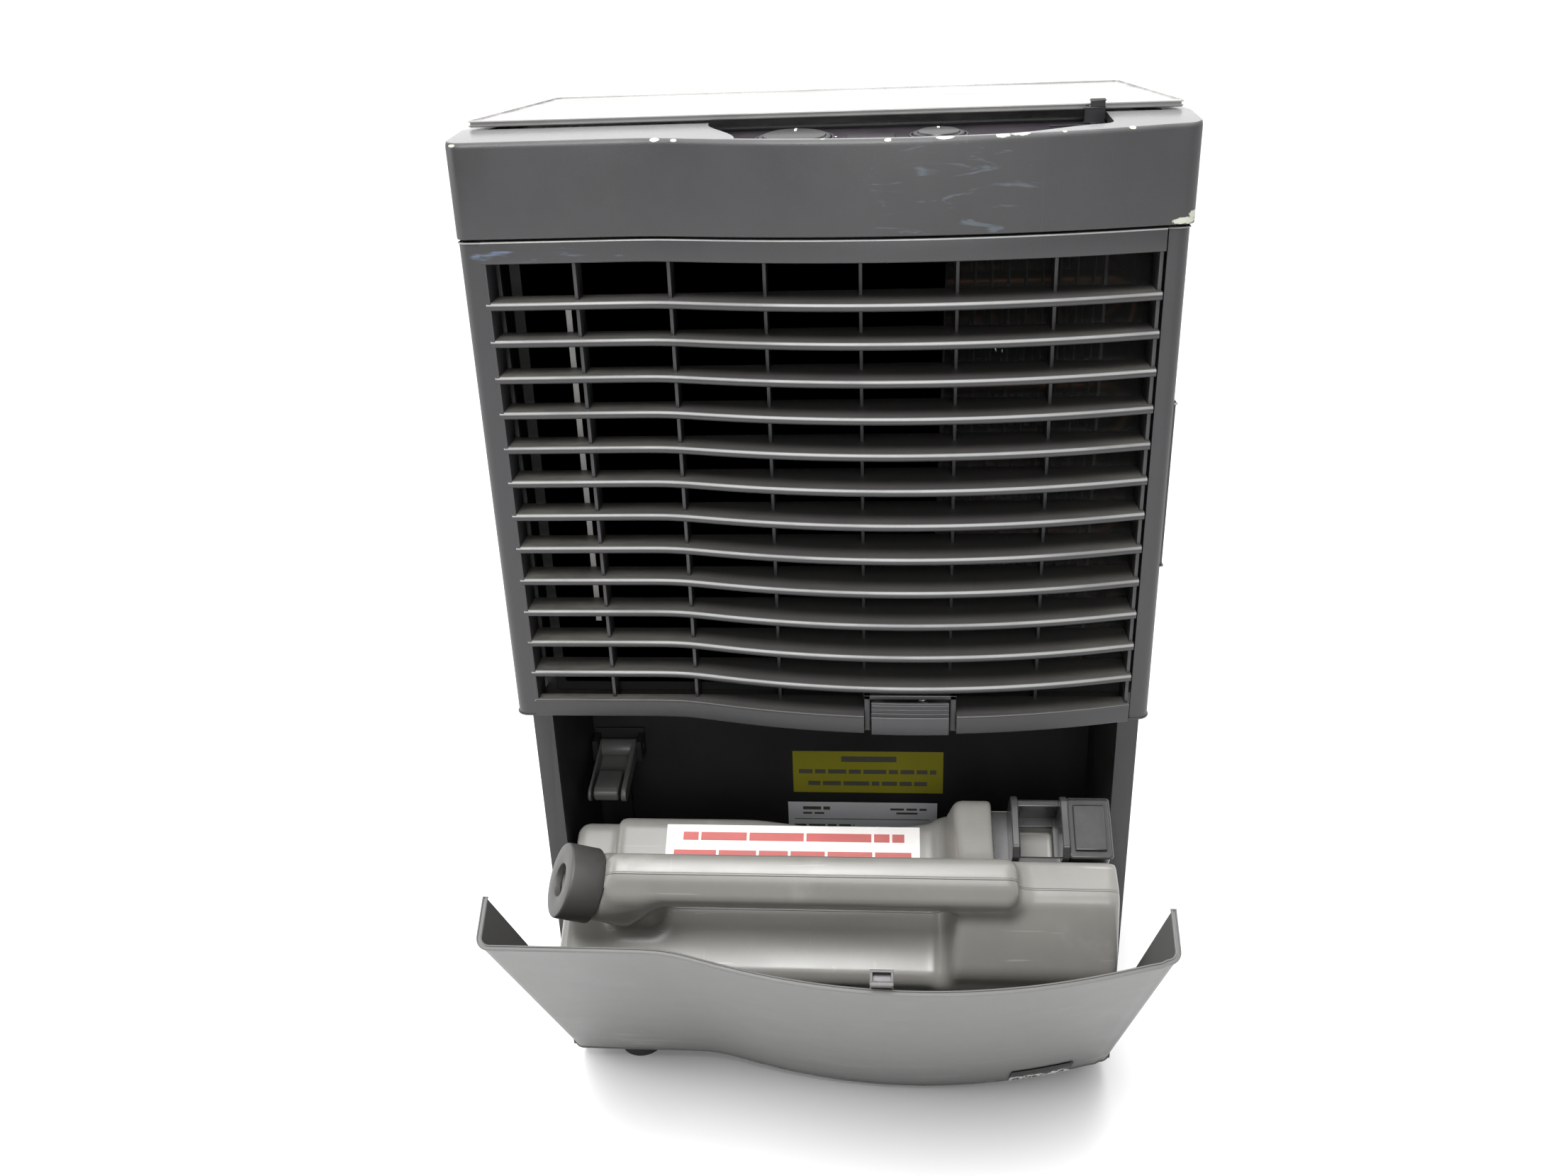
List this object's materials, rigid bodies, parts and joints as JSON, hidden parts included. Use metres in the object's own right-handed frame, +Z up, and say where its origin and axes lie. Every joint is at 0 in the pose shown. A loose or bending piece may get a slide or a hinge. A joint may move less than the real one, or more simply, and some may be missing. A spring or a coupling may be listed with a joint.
{
  "type": "dehumidifier",
  "caption": "Upright compressor dehumidifier: bowed louvred front, controls in a top recess, and a tilting front door that carries a water container.",
  "frame": {"origin": "centre of the whole object's footprint box, on the floor under the feet, with the door open", "axes": "+Z up; the louvred front and the door face -Y; +X to the right of someone facing the front"},
  "size_m": [0.345, 0.3888, 0.5898],
  "materials": {
    "case_charcoal": "fine moulded grain, lightly scuffed",
    "grille_charcoal": "fine moulded grain with settled dust",
    "lid_charcoal": "fine grain, streaked",
    "door_grey": "fine moulded grain",
    "black_plastic": "matt",
    "catch_black": "satin",
    "tank_grey": "satin blow moulding",
    "cap_plastic": "satin",
    "housing_smoke": "smoky",
    "float_foam": "foam",
    "lever_grey": "satin",
    "white_label": "vinyl",
    "rating_label": "vinyl",
    "yellow_label": "vinyl",
    "badge_silver": "worn",
    "rubber": "matt",
    "panel_black": "satin",
    "dial_black": "satin",
    "filter_mesh": "woven mesh",
    "steel": "zinc plated",
    "compressor_black": "gloss enamel",
    "copper": "drawn copper",
    "fin_aluminium": "mill finish",
    "motor_metal": "satin",
    "circuit_green": "solder mask",
    "ivory_plastic": "satin",
    "capacitor_shell": "satin"
  },
  "bodies": {
    "root": {"chassis": "case_charcoal", "base_pan": "black_plastic", "feet": "rubber", "container_bay_liner": "black_plastic", "rear_cover": "case_charcoal", "rear_screws": "steel", "cowl": "case_charcoal", "lid": "lid_charcoal", "front_grille": "grille_charcoal", "control_panel": "panel_black", "humidistat": "ivory_plastic", "fan_switch": "black_plastic", "circuit_board": "circuit_green", "catch_spring": "steel", "hinge_pins": "steel", "notice_label": "yellow_label", "rating_label": "rating_label", "lever_bracket": "black_plastic", "lever_pin": "steel", "microswitch": "black_plastic", "drip_tray": "black_plastic", "evaporator_fins": "fin_aluminium", "evaporator_tube": "copper", "coil_end_plates": "steel", "condenser_fins": "fin_aluminium", "condenser_tube": "copper", "fan_shroud": "black_plastic", "fan_motor": "motor_metal", "motor_bracket": "steel", "motor_screws": "steel", "compressor": "compressor_black", "compressor_grommets": "rubber", "compressor_studs": "steel", "terminal_cover": "black_plastic", "start_capacitor": "capacitor_shell", "filter_drier": "copper", "liquid_pipe": "copper", "suction_pipe": "copper", "discharge_pipe": "copper", "capillary_tube": "copper", "cable_gland": "rubber"},
    "filter": {"filter_end_post": "grille_charcoal", "filter_frame": "black_plastic", "filter_mesh": "filter_mesh"},
    "humidity_dial": {"humidity_dial": "dial_black"},
    "fan_dial": {"fan_dial": "dial_black"},
    "selector": {"selector_lever": "dial_black"},
    "catch": {"release_catch": "catch_black"},
    "door": {"door": "door_grey", "door_badge": "badge_silver"},
    "container": {"water_container": "tank_grey", "container_label": "white_label", "float_housing": "housing_smoke"},
    "cap": {"spout_cap": "cap_plastic"},
    "float": {"float": "float_foam"},
    "lever": {"interlock_lever": "lever_grey"},
    "fan": {"fan_blade": "black_plastic", "motor_shaft": "steel"}
  },
  "joints": [
    {"name": "door_hinge", "type": "hinge", "parent": "root", "child": "door", "pos_m": [0, -0.01992, 0.0717], "axis": [1, 0, 0], "range_deg": [-36, 0]},
    {"name": "container_lift", "type": "slide", "parent": "door", "child": "container", "axis": [0, -0.5878, 0.809], "range_m": [0, 0.24]},
    {"name": "cap_pull", "type": "slide", "parent": "container", "child": "cap", "axis": [-0.8545, -0.3054, 0.4203], "range_m": [0, 0.03]},
    {"name": "float_rise", "type": "slide", "parent": "container", "child": "float", "axis": [0, -0.5878, 0.809], "range_m": [0, 0.012]},
    {"name": "catch_lift", "type": "slide", "parent": "root", "child": "catch", "axis": [0, 0, 1], "range_m": [0, 0.0042], "stiffness_N_per_m": 300, "springref_m": -0.004, "deforming": ["catch_spring"]},
    {"name": "humidity_dial_turn", "type": "hinge", "parent": "root", "child": "humidity_dial", "pos_m": [-0.01, -0.05588, 0.57638], "axis": [0, -0.0993, 0.9951], "range_deg": [-150, 120]},
    {"name": "fan_dial_turn", "type": "hinge", "parent": "root", "child": "fan_dial", "pos_m": [0.056, -0.05588, 0.57638], "axis": [0, -0.0993, 0.9951], "range_deg": [-60, 60]},
    {"name": "selector_slide", "type": "slide", "parent": "root", "child": "selector", "axis": [1, 0, 0], "range_m": [-0.014, 0]},
    {"name": "filter_slide", "type": "slide", "parent": "root", "child": "filter", "axis": [1, 0, 0], "range_m": [0, 0.325]},
    {"name": "lever_lift", "type": "hinge", "parent": "root", "child": "lever", "pos_m": [-0.142, 0.04238, 0.196], "axis": [1, 0, 0], "range_deg": [-18, 0]},
    {"name": "fan_spin", "type": "hinge", "parent": "root", "child": "fan", "pos_m": [0, 0.07238, 0.405], "axis": [0, 1, 0], "continuous": true}
  ],
  "couplings": [
    {"joint": "lever_lift", "follows": "door_hinge", "ratio": 0.5}
  ]
}
